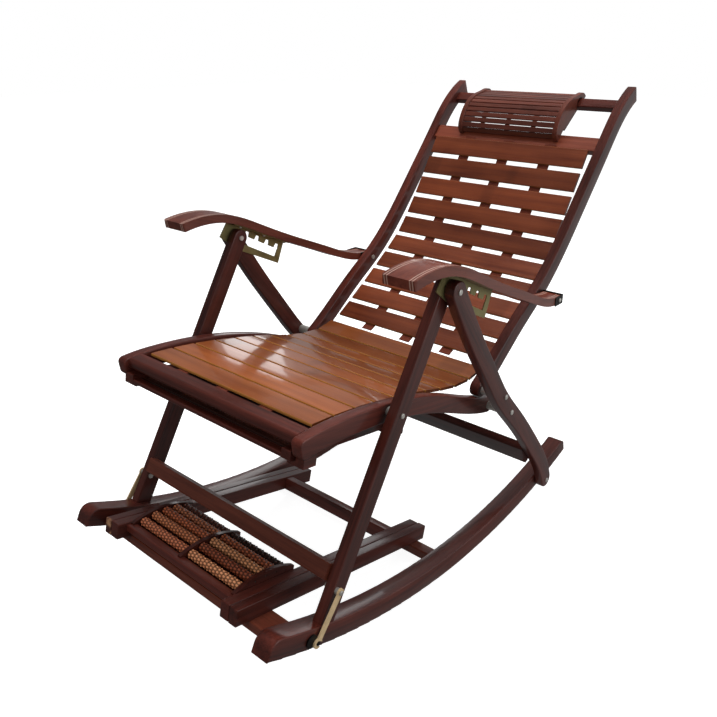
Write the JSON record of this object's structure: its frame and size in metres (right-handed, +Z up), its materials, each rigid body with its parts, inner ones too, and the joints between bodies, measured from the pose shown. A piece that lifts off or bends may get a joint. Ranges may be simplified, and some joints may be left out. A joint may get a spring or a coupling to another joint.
{
  "type": "folding rocking recliner",
  "caption": "Folding rocking recliner with bamboo slat seat and back, head pillow, wooden armrests, sliding roller foot massager, pull-out leg rest and curved rockers.",
  "frame": {"origin": "centre of the bounding box on the floor plane, under the rockers", "axes": "+X is the sitter's left, -Y the front where the feet go, +Z up"},
  "size_m": [0.624, 1.254, 0.9193],
  "materials": {
    "frame_wood": "dark mahogany lacquer, semi-gloss",
    "arm_wood": "reddish mahogany lacquer, semi-gloss",
    "seat_bamboo": "glossy carbonised bamboo",
    "back_bamboo": "satin carbonised bamboo",
    "roller_wood": "varnished turned wood",
    "strip_webbing": "woven band",
    "bright_steel": "bright zinc plated",
    "plate_zinc": "yellow zinc plated sheet",
    "hook_brass": "brushed brass plate",
    "black_metal": "black paint"
  },
  "bodies": {
    "base": {"rocker_left": "frame_wood", "rocker_right": "frame_wood", "rocker_bars": "frame_wood", "foot_guide_left": "frame_wood", "foot_guide_right": "frame_wood", "front_leg_left": "frame_wood", "front_leg_right": "frame_wood", "rear_leg_left": "frame_wood", "rear_leg_right": "frame_wood", "front_stretcher": "frame_wood", "rear_stretcher": "frame_wood", "seat_rail_left": "frame_wood", "seat_rail_right": "frame_wood", "seat_front_bar": "frame_wood", "seat_slats": "seat_bamboo", "seat_strips": "strip_webbing", "frame_bolts": "bright_steel", "hook_catches": "black_metal", "leg_rest_guides": "frame_wood"},
    "back": {"back_rail_left": "frame_wood", "back_rail_right": "frame_wood", "back_top_bar": "frame_wood", "back_cross_rail": "frame_wood", "back_slats": "back_bamboo", "back_strips": "strip_webbing"},
    "arm_left": {"armrest_left": "arm_wood", "arm_fitting_left": "black_metal", "notch_plate_left": "plate_zinc", "arm_fasteners_left": "bright_steel"},
    "arm_right": {"armrest_right": "arm_wood", "arm_fitting_right": "black_metal", "notch_plate_right": "plate_zinc", "arm_fasteners_right": "bright_steel"},
    "hook_left": {"hook_left": "hook_brass"},
    "hook_right": {"hook_right": "hook_brass"},
    "foot_massager": {"foot_slider_left": "frame_wood", "foot_slider_right": "frame_wood", "foot_board_front": "frame_wood", "foot_bar_rear": "frame_wood", "roller_tray": "frame_wood", "roller_cheeks": "frame_wood", "roller_axles": "bright_steel"},
    "roller_left_1_body": {"roller_left_1": "roller_wood"},
    "roller_left_2_body": {"roller_left_2": "roller_wood"},
    "roller_left_3_body": {"roller_left_3": "roller_wood"},
    "roller_left_4_body": {"roller_left_4": "roller_wood"},
    "roller_left_5_body": {"roller_left_5": "roller_wood"},
    "roller_right_1_body": {"roller_right_1": "roller_wood"},
    "roller_right_2_body": {"roller_right_2": "roller_wood"},
    "roller_right_3_body": {"roller_right_3": "roller_wood"},
    "roller_right_4_body": {"roller_right_4": "roller_wood"},
    "roller_right_5_body": {"roller_right_5": "roller_wood"},
    "leg_rest": {"leg_rest_runner_left": "frame_wood", "leg_rest_runner_right": "frame_wood", "leg_rest_bars": "frame_wood", "leg_rest_slats": "seat_bamboo"},
    "pillow": {"pillow_cheek_left": "frame_wood", "pillow_cheek_right": "frame_wood", "pillow_slats": "back_bamboo", "pillow_ties": "strip_webbing"}
  },
  "joints": [
    {"name": "back_recline", "type": "hinge", "parent": "base", "child": "back", "pos_m": [0, 0.016, 0.364], "axis": [1, 0, 0], "range_deg": [0, 30]},
    {"name": "arm_left_pivot", "type": "hinge", "parent": "back", "child": "arm_left", "pos_m": [0.268, 0.223, 0.513], "axis": [1, 0, 0], "range_deg": [-23.91, 0]},
    {"name": "arm_right_pivot", "type": "hinge", "parent": "back", "child": "arm_right", "pos_m": [-0.268, 0.223, 0.513], "axis": [1, 0, 0], "range_deg": [-23.91, 0]},
    {"name": "hook_left_pivot", "type": "hinge", "parent": "base", "child": "hook_left", "pos_m": [0.282, -0.466, 0.182], "axis": [-1, 0, 0], "range_deg": [0, 120]},
    {"name": "hook_right_pivot", "type": "hinge", "parent": "base", "child": "hook_right", "pos_m": [-0.282, -0.466, 0.182], "axis": [-1, 0, 0], "range_deg": [0, 120]},
    {"name": "foot_slide", "type": "slide", "parent": "base", "child": "foot_massager", "axis": [0, -0.9699, 0.2436], "range_m": [0, 0.3]},
    {"name": "roller_left_1_spin", "type": "hinge", "parent": "foot_massager", "child": "roller_left_1_body", "pos_m": [0.075, -0.55969, 0.17408], "axis": [1, 0, 0], "continuous": true},
    {"name": "roller_left_2_spin", "type": "hinge", "parent": "foot_massager", "child": "roller_left_2_body", "pos_m": [0.075, -0.53473, 0.17492], "axis": [1, 0, 0], "continuous": true},
    {"name": "roller_left_3_spin", "type": "hinge", "parent": "foot_massager", "child": "roller_left_3_body", "pos_m": [0.075, -0.5107, 0.1721], "axis": [1, 0, 0], "continuous": true},
    {"name": "roller_left_4_spin", "type": "hinge", "parent": "foot_massager", "child": "roller_left_4_body", "pos_m": [0.075, -0.48753, 0.16582], "axis": [1, 0, 0], "continuous": true},
    {"name": "roller_left_5_spin", "type": "hinge", "parent": "foot_massager", "child": "roller_left_5_body", "pos_m": [0.075, -0.46523, 0.15607], "axis": [1, 0, 0], "continuous": true},
    {"name": "roller_right_1_spin", "type": "hinge", "parent": "foot_massager", "child": "roller_right_1_body", "pos_m": [-0.075, -0.55969, 0.17408], "axis": [1, 0, 0], "continuous": true},
    {"name": "roller_right_2_spin", "type": "hinge", "parent": "foot_massager", "child": "roller_right_2_body", "pos_m": [-0.075, -0.53473, 0.17492], "axis": [1, 0, 0], "continuous": true},
    {"name": "roller_right_3_spin", "type": "hinge", "parent": "foot_massager", "child": "roller_right_3_body", "pos_m": [-0.075, -0.5107, 0.1721], "axis": [1, 0, 0], "continuous": true},
    {"name": "roller_right_4_spin", "type": "hinge", "parent": "foot_massager", "child": "roller_right_4_body", "pos_m": [-0.075, -0.48753, 0.16582], "axis": [1, 0, 0], "continuous": true},
    {"name": "roller_right_5_spin", "type": "hinge", "parent": "foot_massager", "child": "roller_right_5_body", "pos_m": [-0.075, -0.46523, 0.15607], "axis": [1, 0, 0], "continuous": true},
    {"name": "leg_rest_slide", "type": "slide", "parent": "base", "child": "leg_rest", "axis": [0, -0.9848, 0.1736], "range_m": [0, 0.2]},
    {"name": "pillow_swing", "type": "hinge", "parent": "back", "child": "pillow", "pos_m": [-0.013, 0.584, 0.8767], "axis": [-1, 0, 0], "range_deg": [0, 60]}
  ],
  "couplings": [
    {"joint": "arm_left_pivot", "follows": "back_recline", "ratio": -0.797},
    {"joint": "arm_right_pivot", "follows": "back_recline", "ratio": -0.797}
  ]
}
